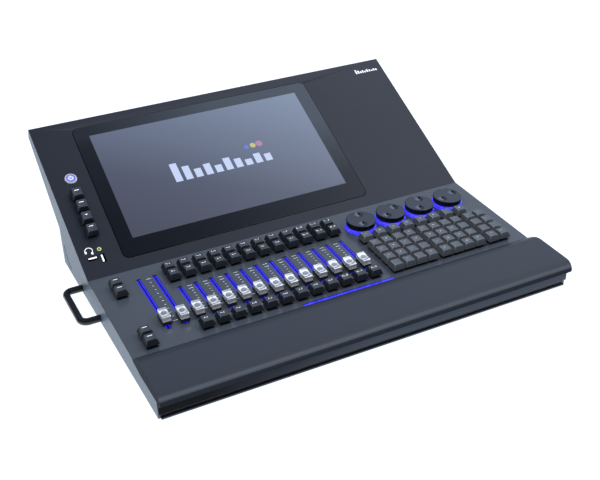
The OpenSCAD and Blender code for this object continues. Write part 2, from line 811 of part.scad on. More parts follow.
base_tray();
side_panel_left();
side_panel_right();
deck_plate();
screen_panel();
rear_cover();
rear_wall();
palm_rest();
front_plate();
touch_glass();
display_module();
handle_left();
handle_right();
feet();
case_screws();
light_bar();
fader_bodies();
fader_light_guides();
encoder_bodies();
encoder_light_rings();
key_switches();
control_board();
main_board();
power_supply();
fan_frame();
fan_rotor();
headphone_jack();
usb_sockets();
power_button_ring();
power_button();
dmx_outputs();
network_socket();
power_inlet();
screen_keys();
left_keys();
playback_keys_rear();
playback_keys_middle();
playback_keys_front();
function_keys();
pad_keys_left();
pad_keys_centre();
pad_keys_right();
for (i = [1:2])
    fader_knob_at(long_faders[i - 1]);
for (i = [1:12])
    fader_knob_at(short_faders[i - 1]);
for (i = [1:4])
    encoder_wheel_at(i - 1);
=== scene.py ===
"""The lighting control desk's looks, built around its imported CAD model. Metres, +X right, +Y rear, +Z up."""

import json
import math

import bmesh
import bpy
from mathutils import Matrix, Vector

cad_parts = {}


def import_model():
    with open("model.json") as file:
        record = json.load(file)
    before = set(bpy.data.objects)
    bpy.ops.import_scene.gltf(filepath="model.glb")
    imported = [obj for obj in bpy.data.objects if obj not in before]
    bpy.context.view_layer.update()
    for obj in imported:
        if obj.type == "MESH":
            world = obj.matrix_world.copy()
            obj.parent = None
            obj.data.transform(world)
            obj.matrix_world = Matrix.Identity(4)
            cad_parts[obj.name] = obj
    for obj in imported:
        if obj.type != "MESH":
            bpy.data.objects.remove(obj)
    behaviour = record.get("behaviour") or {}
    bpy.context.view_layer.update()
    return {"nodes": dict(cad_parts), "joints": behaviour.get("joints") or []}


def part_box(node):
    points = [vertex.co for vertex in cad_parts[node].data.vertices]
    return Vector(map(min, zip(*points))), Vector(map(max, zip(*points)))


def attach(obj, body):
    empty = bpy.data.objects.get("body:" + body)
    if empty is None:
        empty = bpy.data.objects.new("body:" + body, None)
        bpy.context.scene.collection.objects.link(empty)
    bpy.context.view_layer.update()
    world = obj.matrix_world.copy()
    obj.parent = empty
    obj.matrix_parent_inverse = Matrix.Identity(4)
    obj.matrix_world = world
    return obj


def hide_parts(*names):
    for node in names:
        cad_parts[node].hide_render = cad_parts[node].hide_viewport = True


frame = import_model()
NODES = frame["nodes"]
JOINTS = {joint["name"]: joint for joint in frame["joints"]}
MM = 0.001
SMOOTH_ANGLE = math.radians(32)


# --- places ---

def sheet_matrix(origin, along, up):
    """The frame of a sloping sheet: x across, y up its slope, z off its surface."""
    return Matrix.Translation(origin) @ Matrix((Vector((1, 0, 0)), along, up)).transposed().to_4x4()


WHEEL_V = 136 * MM      # from the deck's front fold to the wheels' row
DECK_LENGTH = 183 * MM
wheel = JOINTS["encoder_1_turn"]
deck_along = Vector(JOINTS["short_fader_1_slide"]["axis"]).normalized()
deck_up = Vector(wheel["axis"]).normalized()
wheel_centre = Vector(wheel["pos_m"])
fold = Vector((0, wheel_centre.y, wheel_centre.z)) - WHEEL_V * deck_along
DECK = sheet_matrix(fold, deck_along, deck_up)
screen_up = -Vector(JOINTS["screen_keys_press"]["axis"]).normalized()
screen_along = Vector((0, screen_up.z, -screen_up.y))
SCREEN = sheet_matrix(fold + DECK_LENGTH * deck_along, screen_along, screen_up)


def local_box(node, sheet):
    """A CAD node's lowest and highest corner in a sheet's own frame."""
    back = sheet.inverted()
    points = [back @ vertex.co for vertex in NODES[node].data.vertices]
    return (Vector(min(p[i] for p in points) for i in range(3)),
            Vector(max(p[i] for p in points) for i in range(3)))


def solids(node, sheet):
    """The middle of each separate solid of a CAD node in a sheet's frame, row by row from the rear left."""
    bm = welded_copy(node)
    bm.transform(sheet.inverted())
    middles, seen = [], set()
    for vertex in bm.verts:
        if vertex in seen:
            continue
        seen.add(vertex)
        reached = [vertex]
        for member in reached:
            fresh = {edge.other_vert(member) for edge in member.link_edges} - seen
            seen |= fresh
            reached += fresh
        xs, ys = [v.co.x for v in reached], [v.co.y for v in reached]
        middles.append(((min(xs) + max(xs)) / 2, (min(ys) + max(ys)) / 2))
    bm.free()
    return sorted(middles, key=lambda p: (-round(p[1], 3), p[0]))


def welded_copy(node):
    """A CAD node's surface with its split corners joined and its flat faces whole."""
    bm = bmesh.new()
    bm.from_mesh(NODES[node].data)
    bmesh.ops.remove_doubles(bm, verts=bm.verts, dist=0.00002)
    bmesh.ops.dissolve_limit(bm, angle_limit=math.radians(0.5), verts=bm.verts, edges=bm.edges)
    return bm


# --- materials ---

def color_ramp(tree, value, stops):
    """Maps a value through (position, colour or grey) stops."""
    node = tree.nodes.new("ShaderNodeValToRGB")
    elements = node.color_ramp.elements
    while len(elements) < len(stops):
        elements.new(1.0)
    for element, (position, color) in zip(elements, stops):
        element.position = position
        grey = isinstance(color, (int, float))
        element.color = (color, color, color, 1) if grey else (*color, 1)
    tree.links.new(value, node.inputs["Fac"])
    return node.outputs["Color"]


class Paint:
    """A Principled material with short ways to wire procedural detail into it."""

    def __init__(self, name, color, roughness, metallic=0.0, **inputs):
        self.material = bpy.data.materials.new(name)
        self.material.use_nodes = True
        self.tree = self.material.node_tree
        self.shader = self.tree.nodes["Principled BSDF"]
        self.shader.inputs["Base Color"].default_value = (*color, 1)
        self.shader.inputs["Roughness"].default_value = roughness
        self.shader.inputs["Metallic"].default_value = metallic
        for key, value in inputs.items():
            self.shader.inputs[key.replace("_", " ")].default_value = value
        self.coordinates = self.add("ShaderNodeTexCoord").outputs["Object"]
        self.material.diffuse_color = (*color, 1)

    def add(self, kind, **settings):
        node = self.tree.nodes.new(kind)
        for key, value in settings.items():
            setattr(node, key, value)
        return node

    def link(self, start, end):
        self.tree.links.new(start, end)

    def noise(self, scale, detail=3.0, stretch=None):
        """A noise value, scale features to the metre, stretched along an axis if asked."""
        node = self.add("ShaderNodeTexNoise")
        node.inputs["Scale"].default_value = scale
        node.inputs["Detail"].default_value = detail
        source = self.coordinates
        if stretch:
            mapping = self.add("ShaderNodeMapping")
            mapping.inputs["Scale"].default_value = stretch
            self.link(source, mapping.inputs["Vector"])
            source = mapping.outputs["Vector"]
        self.link(source, node.inputs["Vector"])
        return node.outputs["Fac"]

    def cells(self, scale):
        """Rounded cells, scale of them to the metre, for a moulded grain."""
        node = self.add("ShaderNodeTexVoronoi", feature="F1")
        node.inputs["Scale"].default_value = scale
        self.link(self.coordinates, node.inputs["Vector"])
        return node.outputs["Distance"]

    def ramp(self, value, stops):
        return color_ramp(self.tree, value, stops)

    def axis(self, vector, name):
        """One coordinate of a vector."""
        split = self.add("ShaderNodeSeparateXYZ")
        self.link(vector, split.inputs["Vector"])
        return split.outputs[name]

    def between(self, value, start, end, top=1.0):
        """A value that is 0 at start and top at end."""
        node = self.add("ShaderNodeMapRange")
        node.inputs["From Min"].default_value = start
        node.inputs["From Max"].default_value = end
        node.inputs["To Max"].default_value = top
        self.link(value, node.inputs["Value"])
        return node.outputs["Result"]

    def stretch(self, value, low, high):
        """Maps a value from 0 and 1 to low and high."""
        node = self.add("ShaderNodeMapRange")
        node.inputs["To Min"].default_value = low
        node.inputs["To Max"].default_value = high
        self.link(value, node.inputs["Value"])
        return node.outputs["Result"]

    def roughen(self, value, low, high):
        self.link(self.stretch(value, low, high), self.shader.inputs["Roughness"])

    def tint(self, value, stops):
        self.link(self.ramp(value, stops), self.shader.inputs["Base Color"])

    def bump(self, value, depth):
        """Bumps of a depth in metres, on top of any bump wired before."""
        node = self.add("ShaderNodeBump")
        node.inputs["Distance"].default_value = depth
        self.link(value, node.inputs["Height"])
        normal = self.shader.inputs["Normal"]
        if normal.links:
            self.link(normal.links[0].from_socket, node.inputs["Normal"])
        self.link(node.outputs["Normal"], normal)


def shade(color, factor):
    return tuple(min(1.0, channel * factor) for channel in color)


def powder_coat(name, color, roughness):
    """Sprayed paint: a fine orange peel, and slow drifts of tone and gloss."""
    paint = Paint(name, color, roughness, Specular_IOR_Level=0.55)
    paint.tint(paint.noise(9, 2), [(0.3, shade(color, 0.94)), (0.7, shade(color, 1.06))])
    paint.roughen(paint.noise(60, 4), roughness - 0.04, roughness + 0.05)
    paint.bump(paint.noise(1500, 2), 0.00003)
    paint.bump(paint.noise(420, 2), 0.00003)
    return paint.material


def moulded(name, color, roughness, grain=900, depth=0.00003):
    """Spark-eroded plastic: a close pebble grain."""
    paint = Paint(name, color, roughness)
    paint.tint(paint.noise(30, 3), [(0.3, shade(color, 0.9)), (0.7, shade(color, 1.1))])
    paint.roughen(paint.noise(90, 4), roughness - 0.05, roughness + 0.06)
    paint.bump(paint.cells(grain), depth)
    return paint.material


def metal(name, color, roughness, stretch=(1, 1, 1), depth=0.00001, shine=1.0):
    """Bare or plated metal; less shine lets a milky lacquer show."""
    paint = Paint(name, color, roughness, metallic=shine)
    paint.roughen(paint.noise(500, 4, stretch), roughness * 0.9, roughness * 1.15)
    paint.bump(paint.noise(900, 3, stretch), depth)
    return paint.material


SPARKLE = 260   # bright spots to the metre in a light guide


def glow(name, color, bright, strength):
    """A lit light guide: the colour gathers into brighter spots along it."""
    paint = Paint(name, shade(color, 0.3), 0.25)
    spots = paint.ramp(paint.noise(SPARKLE, 2), [(0.35, color), (0.75, bright)])
    paint.link(spots, paint.shader.inputs["Emission Color"])
    paint.shader.inputs["Emission Strength"].default_value = strength
    return paint.material


def circuit_board(name):
    """Green solder mask over a grid of tracks."""
    paint = Paint(name, (0.01, 0.10, 0.05), 0.35, Coat_Weight=0.4)
    tracks = paint.add("ShaderNodeTexBrick")
    tracks.inputs["Scale"].default_value = 90
    tracks.inputs["Mortar Size"].default_value = 0.06
    tracks.inputs["Color1"].default_value = (0.01, 0.09, 0.045, 1)
    tracks.inputs["Color2"].default_value = (0.012, 0.11, 0.055, 1)
    tracks.inputs["Mortar"].default_value = (0.03, 0.2, 0.1, 1)
    paint.link(paint.coordinates, tracks.inputs["Vector"])
    paint.link(tracks.outputs["Color"], paint.shader.inputs["Base Color"])
    paint.bump(tracks.outputs["Fac"], 0.00004)
    return paint.material


def diagonal(paint, low, high):
    """A value that grows from 0 at the lower left corner to 1 at the upper right one."""
    total = paint.add("ShaderNodeMath", operation="ADD")
    paint.link(paint.between(paint.axis(paint.coordinates, "X"), low.x, high.x, 0.45), total.inputs[0])
    paint.link(paint.between(paint.axis(paint.coordinates, "Y"), low.y, high.y, 0.55), total.inputs[1])
    return total.outputs["Value"]


def picture_glow(name, low, high):
    """The lit picture under glass: a soft blue-grey glow, brighter to the upper right where a painted
    reflection is added to the picture's own light.
    """
    paint = Paint(name, (0.02, 0.022, 0.028), 0.12, Coat_Weight=0.5)
    # the picture's own glow, with a painted reflection in its rise to the upper right
    field = paint.ramp(diagonal(paint, low, high), [
        (0.0, (0.038, 0.043, 0.068)), (0.35, (0.056, 0.066, 0.108)),
        (0.6, (0.102, 0.130, 0.205)), (1.0, (0.170, 0.225, 0.325))])
    paint.link(field, paint.shader.inputs["Emission Color"])
    paint.shader.inputs["Emission Strength"].default_value = 0.90
    return paint.material


def by_slope(name, stops, roughness, grain, shine=0.3):
    """Moulded plastic with painted light and shade: its tone follows how far a face looks up, from 0 for
    upright to 1 for level.
    """
    paint = Paint(name, stops[-1][1], roughness, Specular_IOR_Level=shine)
    paint.tint(paint.axis(paint.add("ShaderNodeTexCoord").outputs["Normal"], "Z"), stops)
    paint.roughen(paint.noise(400, 3), roughness - 0.05, roughness + 0.06)
    paint.bump(paint.cells(grain), 0.00001)
    return paint.material


def cap_plastic(name, side, edge, top, roughness):
    """A key cap with painted light: dark moulded flanks in painted shade and pale edges as painted highlights
    round a satin top.
    """
    # painted shade on faces that look up less than 0.40, painted highlights on the edges from 0.52 to 0.86
    return by_slope(name, [(0.40, side), (0.52, edge), (0.86, edge), (0.97, top)], roughness, 2200)


def bezel_glass(name, low, high):
    """Black glass with a painted reflection, paler towards the upper right."""
    paint = Paint(name, (0.006, 0.008, 0.013), 0.10, Specular_IOR_Level=0.30)
    # painted reflection: the glass's colour pales towards the upper right
    paint.tint(diagonal(paint, low, high), [
        (0.10, (0.004, 0.005, 0.008)), (0.50, (0.007, 0.009, 0.013)),
        (0.68, (0.022, 0.026, 0.034)), (0.82, (0.034, 0.042, 0.055))])
    paint.roughen(paint.noise(60, 3), 0.08, 0.12)
    return paint.material


def along_x(name, left, right, start, end, roughness):
    """A glossy strip whose tone changes from its left to its right part, a painted reflection."""
    paint = Paint(name, left, roughness, Specular_IOR_Level=0.05)
    paint.tint(paint.between(paint.axis(paint.coordinates, "X"), start, end), [(0.0, left), (1.0, right)])
    paint.roughen(paint.noise(200, 3), roughness - 0.04, roughness + 0.04)
    return paint.material


MATERIALS = {
    "case": powder_coat("case_coat", (0.0085, 0.0105, 0.017), 0.36),
    "deck": powder_coat("deck_coat", (0.036, 0.044, 0.058), 0.27),
    "side": powder_coat("side_coat", (0.080, 0.115, 0.160), 0.42),
    # painted light on the palm rest: a painted highlight on faces that look halfway up along the nose, painted
    # shade on steeper and on gently tilted faces
    "palm": by_slope("palm_moulding_painted_light", [
        (0.30, (0.012, 0.015, 0.020)), (0.46, (0.052, 0.064, 0.080)), (0.62, (0.052, 0.064, 0.080)),
        (0.78, (0.016, 0.020, 0.029)), (0.997, (0.016, 0.020, 0.029)), (1.0, (0.020, 0.025, 0.035)),
    ], 0.50, 1400, 0.5),
    # painted shade: a deader black for the palm rest's ends and the underside of its nose
    "palm_painted_shade": by_slope("palm_painted_shade", [
        (0.0, (0.014, 0.017, 0.024)), (0.5, (0.022, 0.027, 0.038))], 0.6, 1400, 0.04),
    # painted reflection: the front plate runs from black at its left to pale slate at its right
    "front": along_x("front_gloss", (0.006, 0.006, 0.008), (0.072, 0.088, 0.115), -0.24, 0.0, 0.3),
    # painted light on the key caps: painted shade on the flanks, painted highlights on the edges
    "key": cap_plastic(
        "key_black", (0.010, 0.012, 0.016), (0.070, 0.084, 0.104), (0.031, 0.037, 0.047), 0.34),
    "key_grey": cap_plastic(
        "key_grey", (0.050, 0.055, 0.063), (0.26, 0.28, 0.31), (0.066, 0.077, 0.094), 0.32),
    "black": moulded("black_plastic", (0.008, 0.009, 0.011), 0.30),
    "rubber": moulded("foot_rubber", (0.012, 0.012, 0.013), 0.8, 1600, 0.00006),
    "white": moulded("white_plastic", (0.80, 0.80, 0.80), 0.4),
    "print": moulded("white_print", (0.66, 0.70, 0.76), 0.6),
    "legend": moulded("key_legend", (0.80, 0.84, 0.90), 0.5),
    "silver": metal("knob_silver", (0.93, 0.94, 0.97), 0.07, depth=0.0000005, shine=0.78),
    "knob_pad": metal("knob_pad", (0.46, 0.48, 0.52), 0.09, depth=0.0000005, shine=0.95),
    "wheel": metal("wheel_satin", (0.072, 0.082, 0.102), 0.16, depth=0.0000005, shine=0.9),
    "dimple": metal("wheel_dimple", (0.17, 0.18, 0.21), 0.14, depth=0.0000005, shine=0.95),
    "rim": moulded("wheel_rim", (0.005, 0.005, 0.007), 0.12),
    "chrome": metal("chrome", (0.88, 0.89, 0.92), 0.10, depth=0.000002, shine=0.7),
    "plate": metal("sheet_metal", (0.55, 0.56, 0.58), 0.34, (1, 12, 1)),
    "screw": metal("black_oxide", (0.06, 0.06, 0.065), 0.35),
    "handle": powder_coat("handle_black", (0.006, 0.006, 0.008), 0.18),
    "board": circuit_board("circuit_board"),
    "blue": glow("blue_light", (0.011, 0.008, 0.62), (0.04, 0.034, 0.88), 0.76),
    "ring": glow("ring_light", (0.022, 0.017, 0.80), (0.10, 0.09, 1.0), 1.05),
    "blue_dim": glow("blue_shade", (0.006, 0.005, 0.22), (0.01, 0.008, 0.32), 1.0),
    "lens": glow("lens_light", (0.24, 0.26, 0.66), (0.42, 0.44, 0.82), 0.8),
    "green": moulded("jack_green", (0.40, 0.56, 0.22), 0.3),
    "gold": metal("contact_gold", (0.85, 0.62, 0.28), 0.2),
}


# --- making pieces ---

def piece(name, bm, body, materials, sheet=None, stands_for=(), bevel=None):
    """An object in the scene that rides on a body, in a sheet's frame if one is given."""
    mesh = bpy.data.meshes.new(name)
    bmesh.ops.recalc_face_normals(bm, faces=bm.faces)
    bm.to_mesh(mesh)
    bm.free()
    for key in materials:
        mesh.materials.append(MATERIALS[key])
    mesh.shade_smooth()
    mesh.set_sharp_from_angle(angle=SMOOTH_ANGLE)
    made = bpy.data.objects.new(name, mesh)
    bpy.context.scene.collection.objects.link(made)
    if sheet is not None:
        made.matrix_world = sheet
    if bevel:
        round_edges(made, bevel)
    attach(made, body)
    if stands_for:
        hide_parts(*stands_for)
    return made


def round_edges(thing, width):
    """Rounds a piece's sharp edges."""
    modifier = thing.modifiers.new("rounded_edges", "BEVEL")
    modifier.width = width
    modifier.segments = 2
    modifier.limit_method = "ANGLE"
    modifier.angle_limit = math.radians(40)
    modifier.harden_normals = True


def ring_of(w, d, r, corner_steps):
    """A rounded rectangle's outline, anticlockwise."""
    points = []
    for sx, sy, start in ((1, 1, 0), (-1, 1, 90), (-1, -1, 180), (1, -1, 270)):
        for step in range(corner_steps + 1):
            a = math.radians(start + 90 * step / corner_steps)
            points.append((sx * (w / 2 - r) + r * math.cos(a), sy * (d / 2 - r) + r * math.sin(a)))
    return points


def loft(bm, rings, close_start=True, close_end=True, material=0):
    """Skins rings of equally many points. Each ring is a list of Vectors. Returns the rings' vertices."""
    made = [[bm.verts.new(point) for point in ring] for ring in rings]
    faces = []
    for lower, upper in zip(made, made[1:]):
        for i, corner in enumerate(lower):
            j = (i + 1) % len(lower)
            faces.append(bm.faces.new((corner, lower[j], upper[j], upper[i])))
    if close_start:
        faces.append(bm.faces.new(made[0][::-1]))
    if close_end:
        faces.append(bm.faces.new(made[-1]))
    for face in faces:
        face.material_index = material
    return made


def box_about(bm, centre, size, material=0):
    """A small box about its centre, for a print, a strip or a contact."""
    x, y, z = centre
    w, d, h = (s / 2 for s in size)
    base = [(x + sx * w, y + sy * d) for sx, sy in ((-1, -1), (1, -1), (1, 1), (-1, 1))]
    loft(bm, [[Vector((px, py, z + s * h)) for px, py in base] for s in (-1, 1)], material=material)


def turned(bm, profile, steps, centre=(0, 0), material=0):
    """Turns (radius, height) points about a vertical axis, closed at both ends."""
    cx, cy = centre
    rings = []
    for r, z in profile:
        rings.append([Vector((cx + r * math.cos(2 * math.pi * i / steps),
                              cy + r * math.sin(2 * math.pi * i / steps), z)) for i in range(steps)])
    loft(bm, rings, material=material)


INK = 0.06 * MM   # the thickness of a print


def glyph_points(text, size):
    """A text's mesh, as vertices and faces, centred on the origin."""
    curve = bpy.data.curves.new("glyph", "FONT")
    curve.body = text
    curve.size = size
    curve.extrude = INK / 2
    curve.resolution_u = 2
    curve.align_x, curve.align_y = "CENTER", "CENTER"
    holder = bpy.data.objects.new("glyph", curve)
    mesh = bpy.data.meshes.new_from_object(holder)
    points = [vertex.co.copy() for vertex in mesh.vertices]
    faces = [tuple(polygon.vertices) for polygon in mesh.polygons]
    bpy.data.objects.remove(holder)
    bpy.data.curves.remove(curve)
    bpy.data.meshes.remove(mesh)
    return points, faces


def stamp(bm, shape, place, material=0):
    """Adds a (points, faces) shape with each point moved by place."""
    points, faces = shape
    vertices = [bm.verts.new(place(point)) for point in points]
    for corners in faces:
        if len(set(corners)) > 2:
            bm.faces.new([vertices[i] for i in corners]).material_index = material


# --- keys ---

CAP_TOP = 13 * MM
DISH = 0.5 * MM
DISH_HALF = 5.55 * MM
STEM_R = 2.6 * MM
CAP_RINGS = [  # width, depth, corner radius and height of each ring, in mm, from inside the roof to the rim
    (9.4, 9.6, 1.0, 11.3), (11.4, 11.6, 1.0, 11.1), (15.1, 15.1, 1.0, 4.8), (15.4, 15.4, 1.1, 4.6),
    (17.7, 17.7, 1.0, 4.6), (18.0, 18.0, 1.1, 4.85), (16.4, 16.5, 1.1, 7.6), (14.4, 14.6, 1.1, 10.6),
    (12.9, 13.1, 1.0, 12.6), (12.7, 12.9, 1.0, 12.86), (12.3, 12.5, 0.9, 13.0), (11.6, 11.8, 0.8, 13.0),
    (9.6, 9.8, 0.7, 13.0), (7.0, 7.2, 0.6, 13.0), (4.4, 4.6, 0.4, 13.0), (1.8, 2.0, 0.3, 13.0)]
TOP_RING = 10   # from this ring inwards the surface follows the dish


def dish_at(x):
    """How far a cap's top lies under its rim, x from the cap's middle."""
    return DISH * max(0.0, 1 - (x / DISH_HALF) ** 2)


def cap_shape():
    """A hollow cap and the round stem under its roof."""
    bm = bmesh.new()
    rings = []
    for index, (w, d, r, z) in enumerate(CAP_RINGS):
        outline = ring_of(w * MM, d * MM, r * MM, 3)
        sink = index >= TOP_RING
        rings.append([Vector((x, y, z * MM - (dish_at(x) if sink else 0))) for x, y in outline])
    loft(bm, rings)
    turned(bm, [(STEM_R, 0.6 * MM), (STEM_R, 11.6 * MM)], 12)
    return shape_of(bm)


def shape_of(bm):
    """A mesh as points and faces, for stamping many times."""
    bmesh.ops.recalc_face_normals(bm, faces=bm.faces)
    bm.verts.index_update()
    shape = [v.co.copy() for v in bm.verts], [tuple(v.index for v in f.verts) for f in bm.faces]
    bm.free()
    return shape


def bar_mark(w, d):
    """A thin printed bar, as points and faces."""
    bm = bmesh.new()
    box_about(bm, (0, 0, 0), (w * MM, d * MM, INK))
    return shape_of(bm)


def dot_mark(r):
    """A thin printed dot, as points and faces."""
    bm = bmesh.new()
    turned(bm, [(r * MM, -INK / 2), (r * MM, INK / 2)], 20)
    return shape_of(bm)


def numbered(letter):
    """The legends of a row of twelve keys."""
    return [f"{letter}{n}" for n in range(1, 13)]


CAP, BAR, DOT = cap_shape(), bar_mark(6.4, 1.0), dot_mark(1.7)
LETTER_SIZE = 5.4 * MM
MARK_SHIFT = 2.4 * MM   # legends stand towards the rear of a cap's top
BANKS = {  # node: sheet, material, legends from the rear left, row by row
    "screen_keys": (SCREEN, "key", [BAR, BAR, DOT, BAR]),
    "left_keys": (DECK, "key", [BAR] * 4),
    "playback_keys_rear": (DECK, "key", numbered("C")),
    "playback_keys_middle": (DECK, "key", numbered("B")),
    "playback_keys_front": (DECK, "key", numbered("A")),
    "function_keys": (DECK, "key_grey", [str(n) for n in range(1, 9)]),
    "pad_keys_left": (DECK, "key_grey", list("7894561230.+") + ["-", "/", "*", "="]),
    "pad_keys_centre": (DECK, "key_grey", list("789+456-123/0.%=")),
    "pad_keys_right": (DECK, "key_grey", list("<>^v+-<>")),
}


def key_bank(node):
    """The caps of one bank of keys, and the legends on them."""
    sheet, material, legends = BANKS[node]
    caps, marks = bmesh.new(), bmesh.new()
    for (x, y), legend in zip(solids(node, sheet), legends, strict=True):
        stamp(caps, CAP, lambda p: p + Vector((x, y, 0)))
        shape = glyph_points(legend, LETTER_SIZE) if isinstance(legend, str) else legend
        stamp(marks, shape, lambda p: Vector((
            x + p.x, y + p.y + MARK_SHIFT, CAP_TOP - dish_at(p.x) + p.z)))
    piece(node + "_caps", caps, node, [material], sheet, [node])
    piece(node + "_legends", marks, node, ["legend"], sheet)


for bank in BANKS:
    key_bank(bank)


# --- fader knobs ---

# all in mm; the knob's origin lies over its slot, on the deck
KNOB_HALF = 5.9
DISH_RADIUS, DISH_Y, DISH_AXIS_Z = 21.0, 1, 33.4
FINGER_RING = [(5.1, -0.05), (4.8, 0.14), (4.5, 0.14), (4.2, -0.05)]   # radius and lift off the dish
FINGER_PAD = [(4.2, -0.04), (4.0, 0.05), (2.6, 0.05), (1.2, 0.05)]
KNOB_FOOT = [  # width, depth, corner radius and height of each ring
    (12.7, 22.8, 1.2, 2.1), (13.0, 23.2, 1.3, 2.5), (13.0, 23.0, 1.3, 4.6), (12.4, 22.4, 1.2, 5.2),
    (12.2, 22.0, 1.0, 6.4)]
KNOB_ORIGIN = 11.6   # from the knob's front to its origin


def dish_height(y):
    """The finger dish's height, y from its lowest line."""
    return DISH_AXIS_Z - math.sqrt(DISH_RADIUS ** 2 - y ** 2)


def dish_rings(profile):
    """Round rings that follow the dish, from (radius, lift) pairs."""
    return [[Vector((x, y + DISH_Y, dish_height(y) + lift)) * MM for x, y in ring_of(2 * r, 2 * r, r, 8)]
            for r, lift in profile]


def knob_profile():
    """The silver cap's side outline, as (y, z), from its front foot over the top to its rear foot."""
    front = [(-10.6, 6.1), (-10.75, 6.5), (-10.5, 7.3), (-9.9, 8.3), (-9.65, 9.6), (-9.6, 12.0),
             (-9.3, 12.75), (-8.7, 13.0), (-8.1, 12.95)]
    dish_y = [-7.6 + 15.4 * i / 14 for i in range(15)]
    dish = [(y, dish_height(y - DISH_Y)) for y in dish_y]
    rear = [(8.6, 14.25), (9.4, 14.65), (10.1, 14.4), (10.5, 13.6), (10.9, 9.0), (10.9, 6.1)]
    return front + dish + rear


def knob_shapes():
    """The silver cap, the black base with its stem, and the darker pad in the finger ring."""
    cap, base, pad = bmesh.new(), bmesh.new(), bmesh.new()
    outline = knob_profile()
    middle = sum(z for _, z in outline) / len(outline)
    sections = [(-KNOB_HALF + inset, share)
                for inset, share in ((0, 0.93), (0.15, 0.965), (0.5, 0.99), (1.0, 1.0))]
    sections += [(-x, s) for x, s in reversed(sections)]
    loft(cap, [[Vector((x, y * s, middle + (z - middle) * s)) * MM for y, z in outline] for x, s in sections])
    loft(cap, dish_rings(FINGER_RING), close_start=False, close_end=False)
    loft(base, [[Vector((x, y, z * MM)) for x, y in ring_of(w * MM, d * MM, r * MM, 4)]
                for w, d, r, z in KNOB_FOOT])
    box_about(base, (0, 2.2 * MM, -4.7 * MM), (1.1 * MM, 5.6 * MM, 14.2 * MM))
    loft(pad, dish_rings(FINGER_PAD), close_start=False)
    return cap, base, pad


KNOB_CAP, KNOB_BASE, KNOB_PAD = (shape_of(bm) for bm in knob_shapes())


def fader_knob(node):
    """One knob, where its CAD node stands."""
    low, high = local_box(node, DECK)
    move = Vector(((low.x + high.x) / 2, low.y + KNOB_ORIGIN * MM, 0))
    bm = bmesh.new()
    for material, shape in enumerate((KNOB_CAP, KNOB_BASE, KNOB_PAD)):
        stamp(bm, shape, lambda p: p + move, material)
    piece(node + "_knob", bm, node, ["silver", "black", "knob_pad"], DECK, [node])


for node in [name for name in NODES if "fader_knob" in name]:
    fader_knob(node)


# --- encoder wheels ---

# all in mm
WHEEL_R = 21.8
WHEEL_TOP = 13.6
DIMPLE_AT = 12.4    # from the wheel's axis to a dimple's middle
DIMPLE_R = 6.2
DIMPLE_DEPTH = 2.6
GRIPS = 60          # ribs round the grip
RIB_DEPTH = 0.5
RIBBED_RINGS = (5, 6)
WHEEL_RIM = [(WHEEL_R - inset, z) for inset, z in (   # radius and height of each ring, from the underside up
    (21.3, 5.2), (5.8, 5.2), (1.0, 5.2), (0.4, 5.6), (0.4, 6.2), (0.6, 6.4), (0.6, 11.2), (0.3, 11.5),
    (0.0, 11.8), (0.0, 12.6), (0.2, 13.1))]
WHEEL_EDGE = [(WHEEL_R - inset, z) for inset, z in (
    (0.5, 13.4), (1.0, 13.6), (1.3, 13.6), (1.5, 13.4), (1.8, 13.4))]
WHEEL_FACE = [(r, WHEEL_TOP - 0.2) for r in [WHEEL_R - 1.8 - 0.55 * i for i in range(1, 37)] if r > 0.6]
FIRST_SUNK = len(WHEEL_RIM) + len(WHEEL_EDGE) - 1   # from this ring inwards the surface follows the dimples


def encoder_wheel(number, turn):
    """A grey disc with two finger dimples over a black ribbed grip."""
    node = f"encoder_wheel_{number}"
    low, high = local_box(node, DECK)
    centre = Vector(((low.x + high.x) / 2, (low.y + high.y) / 2, 0))
    steps = 2 * GRIPS
    dimples = [Vector((math.cos(math.radians(turn + s)), math.sin(math.radians(turn + s)), 0)) * DIMPLE_AT
               for s in (0, 180)]

    def sink(x, y):
        """How far the dimples take the surface down."""
        total = 0.0
        for d in dimples:
            share = ((x - d.x) ** 2 + (y - d.y) ** 2) / DIMPLE_R ** 2
            if share < 1.25:
                t = max(0.0, 1 - share)
                total += DIMPLE_DEPTH * (t ** 0.9)
        return total

    bm = bmesh.new()
    rings = []
    for index, (r, z) in enumerate(WHEEL_RIM + WHEEL_EDGE + WHEEL_FACE):
        ring = []
        for i in range(steps):
            a = 2 * math.pi * i / steps
            ribbed = r - (RIB_DEPTH if index in RIBBED_RINGS and i % 2 else 0)
            x, y = ribbed * math.cos(a), ribbed * math.sin(a)
            height = z - (sink(x, y) if index >= FIRST_SUNK else 0)
            ring.append((centre / MM + Vector((x, y, height))) * MM)
        rings.append(ring)
    made = loft(bm, rings)
    for ring in made[:len(WHEEL_RIM)]:
        for vertex in ring:
            for face in vertex.link_faces:
                face.material_index = 1
    for face in bm.faces:
        middle = (face.calc_center_median() - centre) / MM
        if middle.z > 8 and any((middle.xy - d.xy).length < DIMPLE_R for d in dimples):
            face.material_index = 3
    turned(bm, [(3 * MM, -7 * MM), (3 * MM, 5.6 * MM)], 32, centre.xy, material=2)
    piece(node + "_disc", bm, node, ["wheel", "rim", "chrome", "dimple"], DECK, [node])


for number, turn in enumerate((75, 35, 60, 20), 1):
    encoder_wheel(number, turn)


# --- palm rest and glass ---

def skin(node, material, bevel):
    """Stands for a CAD node with the same shape, its edges rounded."""
    return piece(node + "_shell", welded_copy(node), "case", [material], None, [node], bevel)


SLOT_HALF = 3.2 * MM    # half the width of a fader's slot in the deck
GUIDE_HALF = 3.1 * MM   # half the width of the light guide in it
GUIDE_BOX = local_box("fader_light_guides", DECK)
LONG_STEP, SHORT_STEP = 23 * MM, 22.4 * MM
SLOT_X = [GUIDE_BOX[0].x + GUIDE_HALF + LONG_STEP * i for i in range(2)]
SLOT_X += [GUIDE_BOX[1].x - GUIDE_HALF - SHORT_STEP * i for i in range(12)]


